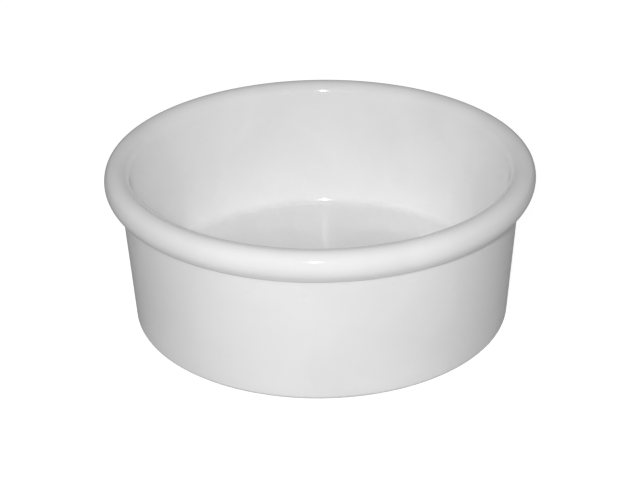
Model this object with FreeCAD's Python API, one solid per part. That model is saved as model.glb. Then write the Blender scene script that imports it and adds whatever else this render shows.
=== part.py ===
"""Round blind cheese mold: one thick-walled white moulding with a fat rolled rim, open at the top.

Every face is turned about the vertical Z axis. The origin is the centre of the foot's resting
plane, +Z points up through the mouth, and all lengths are millimetres. The half section is drawn
in the XZ plane, where a point is (radius, 0, height).
"""
import FreeCAD, Part
import math
import os

# ---- driving dimensions ----
RIM_RADIUS = 100.0            # axis to the outermost point of the rim bead
HEIGHT = 77.0                 # resting plane to the highest point of the rim bead

BEAD_RADIUS = 5.8             # bead's round top, from its outer shoulder over to the inner wall
FLANK_RADIUS = 8.8            # bead's fuller outer flank, from that shoulder down to the crease
SHOULDER = 20.0               # degrees above level that the bead faces at the shoulder
BEAD_CREASE = 0.6             # radius in the crease where the bead meets the outer wall

FOOT_RADIUS = 88.8            # outer wall's radius, carried down to the resting plane
WALL_TOP_RADIUS = 93.3        # outer wall's radius at the height of the bead's outermost point
INSIDE_FOOT_RADIUS = 85.0     # inner wall's radius, carried down to the floor
FLOOR = 5.5                   # thickness of the floor panel

FOOT_RECESS = 6.3             # how far the floor panel stands above the resting plane
FOOT_RING_WIDTH = 6.0         # outer wall to the inner edge of the foot ring, at the resting plane
FOOT_EDGE = 2.5               # outside bottom edge radius
RING_EDGE = 1.2               # radius on the foot ring's inner edge, and in the corner above it
INSIDE_EDGE = 3.5             # radius between the inner wall and the floor

GATE_RADIUS = 3.5             # round mark left where the plastic was fed in, under the floor
GATE_HEIGHT = 0.6             # how far that mark stands down from the floor panel
GATE_EDGE = 0.3               # radius on the mark's lower edge

# ---- values worked out from them ----
FLOOR_TOP = FOOT_RECESS + FLOOR
RING_INNER_RADIUS = FOOT_RADIUS - FOOT_RING_WIDTH

AXIS = FreeCAD.Vector(0, 0, 1)
ORIGIN = FreeCAD.Vector(0, 0, 0)
NEAR = 1e-3


def point(radius, height):
    """A point of the half section."""
    return FreeCAD.Vector(radius, 0, height)


def facing(turn):
    """Direction in the half section: turn 0 faces straight outwards, and turns go upwards."""
    return point(math.cos(turn), math.sin(turn))


def turn_of(direction):
    """Turn that a direction in the half section faces."""
    return math.atan2(direction.z, direction.x)


SHOULDER_TURN = math.radians(SHOULDER)
FLANK_CENTRE = point(
    RIM_RADIUS - FLANK_RADIUS,
    HEIGHT - BEAD_RADIUS - (FLANK_RADIUS - BEAD_RADIUS) * math.sin(SHOULDER_TURN),
)
BEAD_CENTRE = FLANK_CENTRE + facing(SHOULDER_TURN) * (FLANK_RADIUS - BEAD_RADIUS)


def crease_turn():
    """Turn at which the outer wall's line runs into the lower end of the bead's flank."""
    foot = point(FOOT_RADIUS, 0)
    outwards = turn_of(point(WALL_TOP_RADIUS, FLANK_CENTRE.z) - foot) - math.pi / 2
    depth = (foot - FLANK_CENTRE).dot(facing(outwards))
    return outwards - math.acos(depth / FLANK_RADIUS)


def touch_turn():
    """Turn at which a line up from the foot of the inner wall just touches the bead."""
    reach = point(INSIDE_FOOT_RADIUS, FLOOR_TOP) - BEAD_CENTRE
    return turn_of(reach) - math.acos(BEAD_RADIUS / reach.Length) + 2 * math.pi


def arc(centre, radius, start, end):
    """Round edge about a centre, from one turn to another."""
    through = [centre + facing(turn) * radius for turn in (start, (start + end) / 2, end)]
    return Part.Arc(*through).toShape()


def half_section():
    """Face of the half section with sharp corners."""
    start, end = crease_turn(), touch_turn()
    below = Part.makePolygon([
        point(0, FOOT_RECESS),
        point(RING_INNER_RADIUS, FOOT_RECESS),
        point(RING_INNER_RADIUS, 0),
        point(FOOT_RADIUS, 0),
        FLANK_CENTRE + facing(start) * FLANK_RADIUS,
    ])
    bead = [
        arc(FLANK_CENTRE, FLANK_RADIUS, start, SHOULDER_TURN),
        arc(BEAD_CENTRE, BEAD_RADIUS, SHOULDER_TURN, end),
    ]
    inside = Part.makePolygon([
        BEAD_CENTRE + facing(end) * BEAD_RADIUS,
        point(INSIDE_FOOT_RADIUS, FLOOR_TOP),
        point(0, FLOOR_TOP),
        point(0, FOOT_RECESS),
    ])
    return Part.Face(Part.Wire(below.Edges + bead + inside.Edges))


def ring_edges(shape, at):
    """Level round edges of a shape that pass through a point of the half section."""
    return [
        edge
        for edge in shape.Edges
        if edge.BoundBox.ZLength < NEAR
        and abs(edge.BoundBox.ZMax - at.z) < NEAR
        and abs(edge.BoundBox.XMax - at.x) < NEAR
    ]


def rounded(shape):
    """The turned shape with each of its corners rounded."""
    for at, radius in (
        (FLANK_CENTRE + facing(crease_turn()) * FLANK_RADIUS, BEAD_CREASE),
        (point(INSIDE_FOOT_RADIUS, FLOOR_TOP), INSIDE_EDGE),
        (point(FOOT_RADIUS, 0), FOOT_EDGE),
        (point(RING_INNER_RADIUS, 0), RING_EDGE),
        (point(RING_INNER_RADIUS, FOOT_RECESS), RING_EDGE),
    ):
        shape = shape.makeFillet(radius, ring_edges(shape, at))
    return shape


def gate_mark():
    """Small round mark under the middle of the floor, where the plastic was fed in."""
    low = point(0, FOOT_RECESS - GATE_HEIGHT)
    mark = Part.makeCylinder(GATE_RADIUS, GATE_HEIGHT + FLOOR / 2, low, AXIS)
    return mark.makeFillet(GATE_EDGE, ring_edges(mark, low + point(GATE_RADIUS, 0)))


def mold_body():
    """The whole mold as one solid, as it leaves the tool."""
    body = rounded(half_section().revolve(ORIGIN, AXIS, 360))
    return body.fuse(gate_mark()).removeSplitter().Solids[0]


os.makedirs("parts", exist_ok=True)
mold = mold_body()
mold.exportStep("parts/mold_body.step")
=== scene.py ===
"""Looks of a round blind cheese mold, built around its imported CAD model.

The mold is one thick-walled white moulding: a rolled rim bead, a drafted side wall, a flat floor
and a foot ring. Its shell is turned from one outline by Geometry Nodes. Lengths are metres, and an
outline point is (radius, height).
"""
import logging
import math
from dataclasses import dataclass

import bpy
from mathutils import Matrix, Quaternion, Vector


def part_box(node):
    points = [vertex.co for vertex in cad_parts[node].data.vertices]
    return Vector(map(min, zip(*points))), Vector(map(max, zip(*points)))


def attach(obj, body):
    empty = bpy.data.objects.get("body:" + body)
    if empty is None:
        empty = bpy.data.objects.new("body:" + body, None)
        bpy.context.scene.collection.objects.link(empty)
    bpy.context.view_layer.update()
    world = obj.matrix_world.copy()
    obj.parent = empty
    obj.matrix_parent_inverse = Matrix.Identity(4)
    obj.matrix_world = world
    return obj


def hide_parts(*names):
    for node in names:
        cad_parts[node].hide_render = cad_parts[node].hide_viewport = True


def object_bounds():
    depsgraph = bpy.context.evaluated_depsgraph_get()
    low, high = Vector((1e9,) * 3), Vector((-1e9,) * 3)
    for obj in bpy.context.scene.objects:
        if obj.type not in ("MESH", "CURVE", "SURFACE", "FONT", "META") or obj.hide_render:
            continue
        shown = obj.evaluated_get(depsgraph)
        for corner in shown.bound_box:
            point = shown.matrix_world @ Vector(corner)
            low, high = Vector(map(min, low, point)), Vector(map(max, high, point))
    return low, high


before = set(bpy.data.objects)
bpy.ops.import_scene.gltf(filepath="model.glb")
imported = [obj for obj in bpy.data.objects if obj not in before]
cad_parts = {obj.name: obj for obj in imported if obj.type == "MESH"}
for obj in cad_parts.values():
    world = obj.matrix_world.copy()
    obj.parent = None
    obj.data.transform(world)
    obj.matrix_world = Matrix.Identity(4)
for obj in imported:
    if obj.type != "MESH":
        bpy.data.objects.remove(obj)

CAD_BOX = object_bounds()
BODY = "root"
CAD_NODE = "mold_body"
MM = 0.001
WHITE = "#FFFFFF"
SAME_PLACE = 1e-7                     # outline points nearer than this are one point
WELD = 1e-6                           # points of the turned shell nearer than this are merged
MIX_LOW, MIX_HIGH = 2, 3              # inputs of a Mix node that mixes numbers
MIX_A, MIX_B, MIX_RESULT = 6, 7, 2    # inputs and output of a Mix node that mixes colours

log = logging.getLogger("cheese_mold")


def linear(colour: str) -> tuple[float, float, float, float]:
    """Turns an sRGB hex colour into linear red, green, blue and an alpha of 1.

    Args:
        colour: six hex digits after a hash sign.

    Returns:
        The colour as a Blender socket takes it.
    """
    parts = [int(colour[i:i + 2], 16) / 255 for i in (1, 3, 5)]
    red, green, blue = (p / 12.92 if p <= 0.04045 else ((p + 0.055) / 1.055) ** 2.4 for p in parts)
    return red, green, blue, 1.0


def add_node(
    tree: bpy.types.NodeTree,
    kind: str,
    inputs: dict[str | int, object] | None = None,
    **settings: object,
) -> bpy.types.Node:
    """Adds one node, sets its properties, and fills its inputs.

    Args:
        tree: the node tree that gets the node.
        kind: Blender's type name of the node.
        inputs: for an input's name or number, the output socket that feeds it, or its value.
        settings: properties of the node itself, set before its inputs.

    Returns:
        The new node.
    """
    node = tree.nodes.new(kind)
    for name, value in settings.items():
        setattr(node, name, value)
    for key, value in (inputs or {}).items():
        if isinstance(value, bpy.types.NodeSocket):
            tree.links.new(value, node.inputs[key])
        else:
            node.inputs[key].default_value = value
    return node


def facing(turn: float) -> Vector:
    """Direction in the outline's plane: turn 0 faces straight outwards, and turns go upwards."""
    return Vector((math.cos(turn), math.sin(turn)))


def turn_of(direction: Vector) -> float:
    """Turn that a direction in the outline's plane faces."""
    return math.atan2(direction.y, direction.x)


@dataclass
class MoldOutline:
    """Half section of the mold, from the middle of the underside round to the middle of the floor.

    The two driving sizes come from the CAD model; the others are the moulding's own.
    """

    rim_radius: float
    height: float
    bead_radius: float = 5.8 * MM
    flank_radius: float = 8.8 * MM
    shoulder: float = math.radians(20.0)
    bead_crease: float = 0.6 * MM
    foot_radius: float = 88.8 * MM
    wall_top_radius: float = 93.3 * MM
    inside_foot_radius: float = 85.0 * MM
    floor: float = 5.5 * MM
    foot_recess: float = 6.3 * MM
    foot_ring_width: float = 6.0 * MM
    foot_edge: float = 2.5 * MM
    ring_edge: float = 1.2 * MM
    inside_edge: float = 3.5 * MM
    gate_radius: float = 3.5 * MM
    gate_height: float = 0.6 * MM
    gate_edge: float = 0.3 * MM
    straight_step: float = 4.0 * MM
    arc_step: float = math.radians(7.5)
    bead_step: float = math.radians(4.5)

    def __post_init__(self) -> None:
        """Places the bead so that it just reaches the rim radius and the height."""
        fuller = self.flank_radius - self.bead_radius
        drop = self.bead_radius + fuller * math.sin(self.shoulder)
        self.flank_centre = Vector((self.rim_radius - self.flank_radius, self.height - drop))
        self.bead_centre = self.flank_centre + facing(self.shoulder) * fuller
        self.outer_foot = Vector((self.foot_radius, 0.0))
        self.outer_wall = Vector((self.wall_top_radius, self.flank_centre.y)) - self.outer_foot
        self.inner_foot = Vector((self.inside_foot_radius, self.foot_recess + self.floor))

    def touch_turn(self) -> float:
        """Turn at which a line up from the foot of the inner wall just touches the bead."""
        reach = self.inner_foot - self.bead_centre
        return turn_of(reach) - math.acos(self.bead_radius / reach.length) + math.tau

    def crease_turn(self) -> float:
        """Turn at which the crease above the outer wall runs into the bead's flank.

        Returns:
            The turn in radians, as the flank's centre sees it.
        """
        outwards = turn_of(self.outer_wall) - math.pi / 2
        depth = (self.outer_foot - self.flank_centre).dot(facing(outwards)) + self.bead_crease
        return outwards - math.acos(depth / (self.flank_radius + self.bead_crease))

    def sweep(
        self, centre: Vector, radius: float, turns: tuple[float, float], step: float
    ) -> list[Vector]:
        """Points of an arc.

        Args:
            centre: the arc's centre.
            radius: the arc's radius.
            turns: the turns that the arc's first and last points face.
            step: the most that the arc turns from one point to the next.

        Returns:
            The arc's points in order, both ends included.
        """
        start, end = turns
        count = max(2, math.ceil(abs(end - start) / step))
        return [
            centre + facing(start + (end - start) * i / count) * radius for i in range(count + 1)
        ]

    def arc(self, centre: Vector, start: Vector, end: Vector) -> list[Vector]:
        """Points of the shorter arc about a centre.

        Args:
            centre: the arc's centre.
            start: the arc's first point.
            end: the arc's last point.

        Returns:
            The arc's points in order, both ends included.
        """
        first, last = start - centre, end - centre
        turn = turn_of(first)
        shorter = math.remainder(turn_of(last) - turn, math.tau)
        return self.sweep(centre, first.length, (turn, turn + shorter), self.arc_step)

    def corner(self, before: Vector, at: Vector, after: Vector, radius: float) -> list[Vector]:
        """Arc that rounds the corner between two straight stretches.

        Args:
            before: a point of the first stretch.
            at: the sharp corner.
            after: a point of the second stretch.
            radius: the arc's radius.

        Returns:
            The arc's points in order.
        """
        back, ahead = (before - at).normalized(), (after - at).normalized()
        half = back.angle(ahead) / 2
        centre = at + (back + ahead).normalized() * radius / math.sin(half)
        reach = radius / math.tan(half)
        return self.arc(centre, at + back * reach, at + ahead * reach)

    def underside(self) -> list[Vector]:
        """Gate mark, recessed panel and foot ring, up to the foot of the outer wall.

        Returns:
            The points in order, outwards from the middle.
        """
        ring_inner = self.foot_radius - self.foot_ring_width
        gate_low = self.foot_recess - self.gate_height
        corners = [
            (Vector((0.0, gate_low)), 0.0),
            (Vector((self.gate_radius, gate_low)), self.gate_edge),
            (Vector((self.gate_radius, self.foot_recess)), self.gate_edge / 2),
            (Vector((ring_inner, self.foot_recess)), self.ring_edge),
            (Vector((ring_inner, 0.0)), self.ring_edge),
            (self.outer_foot, self.foot_edge),
            (self.outer_foot + self.outer_wall, 0.0),
        ]
        points = [corners[0][0]]
        for (before, _), (at, radius), (after, _) in zip(corners, corners[1:], corners[2:]):
            points += self.corner(before, at, after, radius)
        return points

    def rim(self) -> list[Vector]:
        """Crease, flank and round top of the bead, up to where it runs into the inner wall.

        Returns:
            The points in order, from the outer wall over to the inner one.
        """
        start, end = self.crease_turn(), self.touch_turn()
        flank_turns, top_turns = (start, self.shoulder), (self.shoulder, end)
        flank = self.sweep(self.flank_centre, self.flank_radius, flank_turns, self.bead_step)
        top = self.sweep(self.bead_centre, self.bead_radius, top_turns, self.bead_step)
        crease = self.flank_centre + facing(start) * (self.flank_radius + self.bead_crease)
        outwards = facing(turn_of(self.outer_wall) - math.pi / 2)
        return self.arc(crease, crease - outwards * self.bead_crease, flank[0]) + flank + top

    def inside(self) -> list[Vector]:
        """Rounded corner at the foot of the inner wall, and the floor to its middle.

        Returns:
            The points in order, inwards.
        """
        above = self.bead_centre + facing(self.touch_turn()) * self.bead_radius
        middle = Vector((0.0, self.inner_foot.y))
        return self.corner(above, self.inner_foot, middle, self.inside_edge) + [middle]

    def points(self) -> list[Vector]:
        """The whole outline, with its straight stretches cut into even steps.

        Returns:
            The points in order, with no point twice.
        """
        outline = self.underside() + self.rim() + self.inside()
        found = outline[:1]
        for point in outline[1:]:
            last = found[-1]
            gap = (point - last).length
            count = math.ceil(gap / self.straight_step) if gap > SAME_PLACE else 0
            found += [last.lerp(point, (i + 1) / count) for i in range(count)]
        return found


@dataclass(frozen=True)
class MouldedPlastic:
    """Glossy white food-grade plastic as it leaves a polished tool.

    To the eye it is a clean, slightly milky white under a clear even gloss. The gloss carries the
    tool's faint waviness, is brightest where hands have polished the bead, and is scuffed matt
    where the foot slides on a table.
    """

    name: str = "glossy_white_moulded_plastic"
    white: str = "#F6F6F6"
    milky: str = "#F2F2F2"
    scuffed: str = "#E2E2E0"
    ior: float = 1.53
    glossy: float = 0.10
    polished: float = 0.07
    matt: float = 0.42
    milkiness: float = 0.06
    milk_depth: float = 2.0 * MM
    cloud_size: float = 46.0 * MM
    cloud_detail: float = 2.0
    cloud_swirl: float = 0.6
    cloud_limits: tuple[float, float] = (0.35, 0.65)
    polish_size: float = 9.0 * MM
    polish_detail: float = 4.0
    polish_start: float = 62.0 * MM
    polish_fade: float = 6.0 * MM
    scuff_size: float = 2.4 * MM
    scuff_detail: float = 6.0
    scuff_limits: tuple[float, float] = (0.46, 0.62)
    scuff_reach: float = 2.6 * MM
    scuff_full: float = 0.2 * MM
    wave_size: float = 17.0 * MM
    wave_height: float = 0.012 * MM
    peel_size: float = 1.6 * MM
    peel_height: float = 0.0015 * MM
    relief_detail: float = 1.0

    def build(self) -> bpy.types.Material:
        """Makes the material; every pattern reads Object coordinates.

        Returns:
            The new material.
        """
        material = bpy.data.materials.new(self.name)
        material.use_nodes = True
        tree = material.node_tree
        tree.nodes.clear()
        place = add_node(tree, "ShaderNodeTexCoord").outputs["Object"]
        scuff = self.scuff(tree, place)
        surface = {
            "Base Color": self.colour(tree, place, scuff),
            "Roughness": self.roughness(tree, place, scuff),
            "Normal": self.relief(tree, place),
            "IOR": self.ior,
            "Subsurface Weight": self.milkiness,
            "Subsurface Radius": (1.0, 1.0, 1.0),
            "Subsurface Scale": self.milk_depth,
        }
        shader = add_node(tree, "ShaderNodeBsdfPrincipled", surface)
        add_node(tree, "ShaderNodeOutputMaterial", {"Surface": shader.outputs["BSDF"]})
        return material

    def scuff(self, tree: bpy.types.NodeTree, place: bpy.types.NodeSocket) -> bpy.types.NodeSocket:
        """Broken patches of wear that fade out just above the foot.

        Args:
            tree: the material's node tree.
            place: the place on the mold.

        Returns:
            The output socket of the wear, from 0 to 1.
        """
        height = add_node(tree, "ShaderNodeSeparateXYZ", {"Vector": place}).outputs["Z"]
        fade = {"Value": height, "From Min": self.scuff_reach, "From Max": self.scuff_full}
        near_foot = add_node(tree, "ShaderNodeMapRange", fade, interpolation_type="SMOOTHSTEP")
        grain = {"Vector": place, "Scale": 1.0 / self.scuff_size, "Detail": self.scuff_detail}
        noise = add_node(tree, "ShaderNodeTexNoise", grain).outputs["Fac"]
        bare, worn = self.scuff_limits
        limits = {"Value": noise, "From Min": bare, "From Max": worn}
        patches = add_node(tree, "ShaderNodeMapRange", limits, interpolation_type="SMOOTHSTEP")
        both = {0: near_foot.outputs["Result"], 1: patches.outputs["Result"]}
        return add_node(tree, "ShaderNodeMath", both, operation="MULTIPLY").outputs[0]

    def colour(
        self,
        tree: bpy.types.NodeTree,
        place: bpy.types.NodeSocket,
        scuff: bpy.types.NodeSocket,
    ) -> bpy.types.NodeSocket:
        """White with faint milky clouds from the plastic's flow, greyed where it is scuffed.

        Args:
            tree: the material's node tree.
            place: the place on the mold.
            scuff: the wear, from 0 to 1.

        Returns:
            The output socket of the colour.
        """
        flow = {
            "Vector": place,
            "Scale": 1.0 / self.cloud_size,
            "Detail": self.cloud_detail,
            "Distortion": self.cloud_swirl,
        }
        noise = add_node(tree, "ShaderNodeTexNoise", flow).outputs["Fac"]
        clear, full = self.cloud_limits
        limits = {"Value": noise, "From Min": clear, "From Max": full}
        cloud = add_node(tree, "ShaderNodeMapRange", limits, interpolation_type="SMOOTHSTEP")
        clouds = {0: cloud.outputs["Result"], MIX_A: linear(self.white), MIX_B: linear(self.milky)}
        body = add_node(tree, "ShaderNodeMix", clouds, data_type="RGBA").outputs[MIX_RESULT]
        worn = {0: scuff, MIX_A: body, MIX_B: linear(self.scuffed)}
        return add_node(tree, "ShaderNodeMix", worn, data_type="RGBA").outputs[MIX_RESULT]

    def roughness(
        self,
        tree: bpy.types.NodeTree,
        place: bpy.types.NodeSocket,
        scuff: bpy.types.NodeSocket,
    ) -> bpy.types.NodeSocket:
        """Clear gloss, brighter where hands polish the bead, matt where the foot is scuffed.

        Args:
            tree: the material's node tree.
            place: the place on the mold.
            scuff: the wear, from 0 to 1.

        Returns:
            The output socket of the roughness.
        """
        height = add_node(tree, "ShaderNodeSeparateXYZ", {"Vector": place}).outputs["Z"]
        grain = {"Vector": place, "Scale": 1.0 / self.polish_size, "Detail": self.polish_detail}
        noise = add_node(tree, "ShaderNodeTexNoise", grain).outputs["Fac"]
        edge = {0: noise, 1: self.polish_fade, 2: height}
        ragged = add_node(tree, "ShaderNodeMath", edge, operation="MULTIPLY_ADD").outputs[0]
        rise = {
            "Value": ragged,
            "From Min": self.polish_start,
            "From Max": self.polish_start + self.polish_fade,
            "To Min": self.glossy,
            "To Max": self.polished,
        }
        fade = add_node(tree, "ShaderNodeMapRange", rise, interpolation_type="SMOOTHSTEP")
        worn = {0: scuff, MIX_LOW: fade.outputs["Result"], MIX_HIGH: self.matt}
        return add_node(tree, "ShaderNodeMix", worn).outputs[0]

    def relief(self, tree: bpy.types.NodeTree, place: bpy.types.NodeSocket) -> bpy.types.NodeSocket:
        """The tool's slow waviness with a very fine orange peel on it.

        Args:
            tree: the material's node tree.
            place: the place on the mold.

        Returns:
            The output socket of the surface's normal.
        """
        normal = None
        for size, depth in (
            (self.wave_size, self.wave_height),
            (self.peel_size, self.peel_height),
        ):
            grain = {"Vector": place, "Scale": 1.0 / size, "Detail": self.relief_detail}
            noise = add_node(tree, "ShaderNodeTexNoise", grain).outputs["Fac"]
            bump = {"Height": noise, "Strength": 1.0, "Distance": depth}
            if normal:
                bump["Normal"] = normal
            normal = add_node(tree, "ShaderNodeBump", bump).outputs["Normal"]
        return normal


@dataclass
class MoldBody:
    """The one moulding: bead, wall, floor and foot, turned from a single outline.

    The shell stands where the CAD node stands, and takes its rim radius and height from it.
    """

    finish: MouldedPlastic
    around: int = 288
    sink: float = 0.02 * MM
    sink_size: float = 60.0 * MM
    seed: float = 7.0

    def outline_object(self) -> bpy.types.Object:
        """An object whose mesh is the chain of edges along the half section.

        Returns:
            The new object, linked to the scene.
        """
        low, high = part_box(CAD_NODE)
        outline = MoldOutline(rim_radius=(high.x - low.x) / 2, height=high.z)
        points = [(p.x, 0.0, p.y) for p in outline.points()]
        mesh = bpy.data.meshes.new("mold_shell")
        mesh.from_pydata(points, [(i, i + 1) for i in range(len(points) - 1)], [])
        shell = bpy.data.objects.new("mold_shell", mesh)
        bpy.context.scene.collection.objects.link(shell)
        return shell

    def turning_tree(self) -> bpy.types.NodeTree:
        """Geometry Nodes that turn an edge chain about the vertical axis into a closed shell.

        Returns:
            The new node tree.
        """
        tree = bpy.data.node_groups.new("turned_shell", "GeometryNodeTree")
        for name, kind in (
            ("Outline", "NodeSocketGeometry"),
            ("Around", "NodeSocketInt"),
            ("Sink", "NodeSocketFloat"),
            ("Sink Size", "NodeSocketFloat"),
            ("Seed", "NodeSocketFloat"),
            ("Finish", "NodeSocketMaterial"),
        ):
            tree.interface.new_socket(name, in_out="INPUT", socket_type=kind)
        tree.interface.new_socket("Shell", in_out="OUTPUT", socket_type="NodeSocketGeometry")
        given = add_node(tree, "NodeGroupInput").outputs
        turned = self.turn_outline(tree, given)
        closed = add_node(tree, "GeometryNodeMergeByDistance", {"Geometry": turned, "Distance": WELD})
        # wrapped this way round, the grid's faces point into the plastic until they are flipped
        outwards = add_node(tree, "GeometryNodeFlipFaces", {"Mesh": closed.outputs["Geometry"]})
        sunk = self.sink_surface(tree, outwards.outputs["Mesh"], given)
        smooth = add_node(tree, "GeometryNodeSetShadeSmooth", {"Geometry": sunk})
        real = add_node(tree, "GeometryNodeRealizeInstances", {"Geometry": smooth.outputs["Geometry"]})
        dressed = {"Geometry": real.outputs["Geometry"], "Material": given["Finish"]}
        dress = add_node(tree, "GeometryNodeSetMaterial", dressed)
        add_node(tree, "NodeGroupOutput", {"Shell": dress.outputs["Geometry"]})
        return tree

    def turn_outline(
        self, tree: bpy.types.NodeTree, given: bpy.types.bpy_prop_collection
    ) -> bpy.types.NodeSocket:
        """Lays a grid with one row for each outline point, and wraps every row into a circle.

        Args:
            tree: the node tree.
            given: the tree's input sockets.

        Returns:
            The geometry socket of the wrapped grid.
        """
        size = add_node(tree, "GeometryNodeAttributeDomainSize", {"Geometry": given["Outline"]})
        rows = size.outputs["Point Count"]
        columns = add_node(tree, "ShaderNodeMath", {0: given["Around"], 1: 1.0}, operation="ADD")
        counts = {"Size X": 1.0, "Size Y": 1.0, "Vertices X": rows, "Vertices Y": columns.outputs[0]}
        grid = add_node(tree, "GeometryNodeMeshGrid", counts)
        index = add_node(tree, "GeometryNodeInputIndex").outputs["Index"]
        by_row = {0: index, 1: columns.outputs[0]}
        row = add_node(tree, "ShaderNodeMath", by_row, operation="DIVIDE").outputs[0]
        row_number = add_node(tree, "ShaderNodeMath", {0: row}, operation="FLOOR").outputs[0]
        column = add_node(tree, "ShaderNodeMath", by_row, operation="MODULO").outputs[0]
        share = {0: column, 1: given["Around"]}
        part = add_node(tree, "ShaderNodeMath", share, operation="DIVIDE").outputs[0]
        angle = add_node(tree, "ShaderNodeMath", {0: part, 1: math.tau}, operation="MULTIPLY")
        place = add_node(tree, "GeometryNodeInputPosition").outputs["Position"]
        look_up = {"Geometry": given["Outline"], "Value": place, "Index": row_number}
        point = add_node(tree, "GeometryNodeSampleIndex", look_up, data_type="FLOAT_VECTOR", clamp=True)
        turn = {"Vector": point.outputs["Value"], "Angle": angle.outputs[0]}
        around = add_node(tree, "ShaderNodeVectorRotate", turn, rotation_type="Z_AXIS")
        move = {"Geometry": grid.outputs["Mesh"], "Position": around.outputs["Vector"]}
        return add_node(tree, "GeometryNodeSetPosition", move).outputs["Geometry"]

    def sink_surface(
        self,
        tree: bpy.types.NodeTree,
        shell: bpy.types.NodeSocket,
        given: bpy.types.bpy_prop_collection,
    ) -> bpy.types.NodeSocket:
        """Draws the surface in by a hair here and there, as thick plastic shrinks while it cools.

        Args:
            tree: the node tree.
            shell: the geometry to move.
            given: the tree's input sockets.

        Returns:
            The geometry socket of the moved shell.
        """
        scale = add_node(tree, "ShaderNodeMath", {0: 1.0, 1: given["Sink Size"]}, operation="DIVIDE")
        grain = {"W": given["Seed"], "Scale": scale.outputs[0], "Detail": 0.0}
        noise = add_node(tree, "ShaderNodeTexNoise", grain, noise_dimensions="4D")
        depth = {0: noise.outputs["Fac"], 1: given["Sink"]}
        inwards = add_node(tree, "ShaderNodeMath", depth, operation="MULTIPLY").outputs[0]
        back = add_node(tree, "ShaderNodeMath", {0: inwards, 1: -1.0}, operation="MULTIPLY")
        normal = add_node(tree, "GeometryNodeInputNormal").outputs["Normal"]
        push = {0: normal, "Scale": back.outputs[0]}
        offset = add_node(tree, "ShaderNodeVectorMath", push, operation="SCALE").outputs["Vector"]
        moved = {"Geometry": shell, "Offset": offset}
        return add_node(tree, "GeometryNodeSetPosition", moved).outputs["Geometry"]

    def build(self) -> bpy.types.Object:
        """Turns the outline into the finished shell, as one plain mesh that rides on the CAD body.

        Returns:
            The shell's object.
        """
        shell = self.outline_object()
        tree = self.turning_tree()
        modifier = shell.modifiers.new("turned_shell", "NODES")
        modifier.node_group = tree
        values = {
            "Around": self.around,
            "Sink": self.sink,
            "Sink Size": self.sink_size,
            "Seed": self.seed,
            "Finish": self.finish.build(),
        }
        for item in tree.interface.items_tree:
            if item.in_out == "INPUT" and item.name in values:
                modifier[item.identifier] = values[item.name]
        graph = bpy.context.evaluated_depsgraph_get()
        mesh = bpy.data.meshes.new_from_object(shell.evaluated_get(graph), depsgraph=graph)
        shell.modifiers.remove(modifier)
        shell.data = mesh
        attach(shell, BODY)
        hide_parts(CAD_NODE)
        return shell


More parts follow.
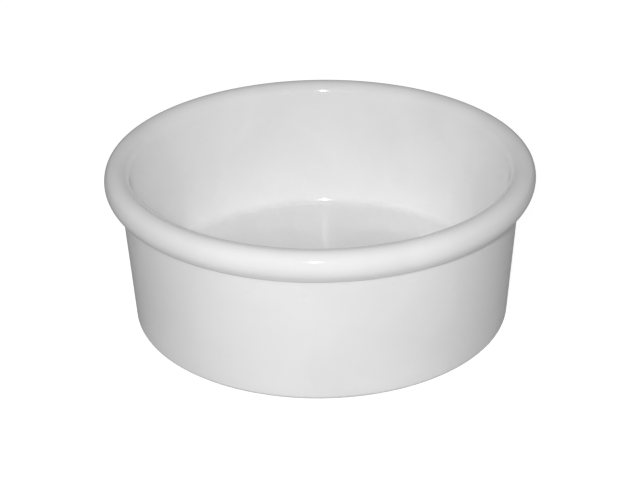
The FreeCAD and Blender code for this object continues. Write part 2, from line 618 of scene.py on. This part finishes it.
@dataclass
class Studio:
    """Plain pale table in a plain pale room, with one small lamp beside the camera.

    The table and the room look white, and light the mold less than they look, as a wide dim
    studio with a lit backdrop does. The lamp's power is in watts.
    """

    target: Vector
    table_half: float = 3.0
    table_card: str = "#BEBEBE"
    table_glow: float = 0.85
    lamp_power: float = 4.35
    lamp_width: float = 0.04
    lamp_height: float = 0.09
    lamp_distance: float = 0.90
    lamp_side: float = math.radians(-2.9)
    lamp_rise: float = math.radians(29.5)
    wall_light: float = 0.370
    ceiling_light: float = 0.245

    def seen(
        self, tree: bpy.types.NodeTree, unseen: float | bpy.types.NodeSocket, seen: float
    ) -> bpy.types.NodeSocket:
        """A strength with one value for the view itself and another for the light it gives.

        Args:
            tree: the node tree.
            unseen: the strength for the light given, as a number or as an output socket.
            seen: the strength for the view itself.

        Returns:
            The output socket of the strength.
        """
        ray = add_node(tree, "ShaderNodeLightPath").outputs["Is Camera Ray"]
        strength = {"Value": ray, "To Min": unseen, "To Max": seen}
        return add_node(tree, "ShaderNodeMapRange", strength).outputs["Result"]

    def table(self) -> bpy.types.Object:
        """A wide plain floor under the mold, in matt white card.

        Returns:
            The table's object.
        """
        half = self.table_half
        corners = [(-half, -half, 0.0), (half, -half, 0.0), (half, half, 0.0), (-half, half, 0.0)]
        mesh = bpy.data.meshes.new("table_top")
        mesh.from_pydata(corners, [], [(0, 1, 2, 3)])
        material = bpy.data.materials.new("matt_white_card")
        material.use_nodes = True
        tree = material.node_tree
        tree.nodes.clear()
        card = {
            "Base Color": linear(self.table_card),
            "Roughness": 1.0,
            "Specular IOR Level": 0.0,
            "Emission Color": linear(WHITE),
            "Emission Strength": self.seen(tree, 0.0, self.table_glow),
        }
        shader = add_node(tree, "ShaderNodeBsdfPrincipled", card)
        add_node(tree, "ShaderNodeOutputMaterial", {"Surface": shader.outputs["BSDF"]})
        mesh.materials.append(material)
        table = bpy.data.objects.new("table_top", mesh)
        bpy.context.scene.collection.objects.link(table)
        return table

    def lamp(self) -> bpy.types.Object:
        """The small lamp, just left of and above the camera, aimed at the mold.

        Returns:
            The lamp's object.
        """
        flat = self.lamp_distance * math.cos(self.lamp_rise)
        reach = Vector((
            math.sin(self.lamp_side) * flat,
            -math.cos(self.lamp_side) * flat,
            self.lamp_distance * math.sin(self.lamp_rise),
        ))
        data = bpy.data.lights.new("key_lamp", "AREA")
        data.shape = "ELLIPSE"
        data.size = self.lamp_width
        data.size_y = self.lamp_height
        data.energy = self.lamp_power
        lamp = bpy.data.objects.new("key_lamp", data)
        lamp.location = self.target + reach
        lamp.rotation_euler = (-reach).to_track_quat("-Z", "Y").to_euler()
        bpy.context.scene.collection.objects.link(lamp)
        return lamp

    def room(self) -> bpy.types.World:
        """The pale room all round, which gives more light from its walls than from its ceiling.

        Returns:
            The new world.
        """
        world = bpy.data.worlds.new("studio_room")
        world.use_nodes = True
        tree = world.node_tree
        tree.nodes.clear()
        way = add_node(tree, "ShaderNodeTexCoord").outputs["Generated"]
        rise = add_node(tree, "ShaderNodeSeparateXYZ", {"Vector": way}).outputs["Z"]
        dimming = {"Value": rise, "To Min": self.wall_light, "To Max": self.ceiling_light}
        light = add_node(tree, "ShaderNodeMapRange", dimming).outputs["Result"]
        pale = {"Color": linear(WHITE), "Strength": self.seen(tree, light, 1.0)}
        background = add_node(tree, "ShaderNodeBackground", pale)
        add_node(tree, "ShaderNodeOutputWorld", {"Surface": background.outputs["Background"]})
        return world

    def build(self) -> None:
        """Sets the table, the lamp and the room."""
        self.table()
        self.lamp()
        scene = bpy.context.scene
        scene.world = self.room()
        scene.view_settings.view_transform = "Standard"
        scene.cycles.blur_glossy = 0.0
        scene.cycles.sample_clamp_indirect = 0.0


@dataclass
class ProductCamera:
    """Long-lens camera in front of the mold, looking down into its mouth."""

    elevation: float = math.radians(26.9)
    distance: float = 0.820
    aim: tuple[float, float, float] = (-0.0004, 0.0, -0.0050)
    roll: float = math.radians(-0.80)
    lens_mm: float = 97.3
    sensor_mm: float = 36.0

    def build(self, centre: Vector) -> bpy.types.Object:
        """Places the camera round the mold's centre and makes it the scene's camera.

        Args:
            centre: the middle of the mold.

        Returns:
            The camera object.
        """
        back = Vector((0.0, -math.cos(self.elevation), math.sin(self.elevation)))
        place = centre + back * self.distance
        data = bpy.data.cameras.new("product_camera")
        data.lens = self.lens_mm
        data.sensor_width = self.sensor_mm
        camera = bpy.data.objects.new("product_camera", data)
        camera.location = place
        level = (centre + Vector(self.aim) - place).to_track_quat("-Z", "Y")
        camera.rotation_mode = "QUATERNION"
        camera.rotation_quaternion = level @ Quaternion((0.0, 0.0, 1.0), self.roll)
        bpy.context.scene.collection.objects.link(camera)
        bpy.context.scene.camera = camera
        return camera


def main() -> None:
    """Builds the mold, the studio and the camera in order, and reports each piece."""
    logging.basicConfig(level=logging.INFO, format="%(name)s: %(message)s")
    shell = MoldBody(finish=MouldedPlastic()).build()
    log.info("%s: %d vertices, %d faces", shell.name, len(shell.data.vertices), len(shell.data.polygons))
    low, high = CAD_BOX
    centre = (low + high) / 2
    Studio(target=centre).build()
    log.info("studio: table, lamp and room round %s", tuple(round(c, 4) for c in centre))
    camera = ProductCamera().build(centre)
    log.info("%s: %.1f mm lens", camera.name, camera.data.lens)


if __name__ == "__main__":
    main()
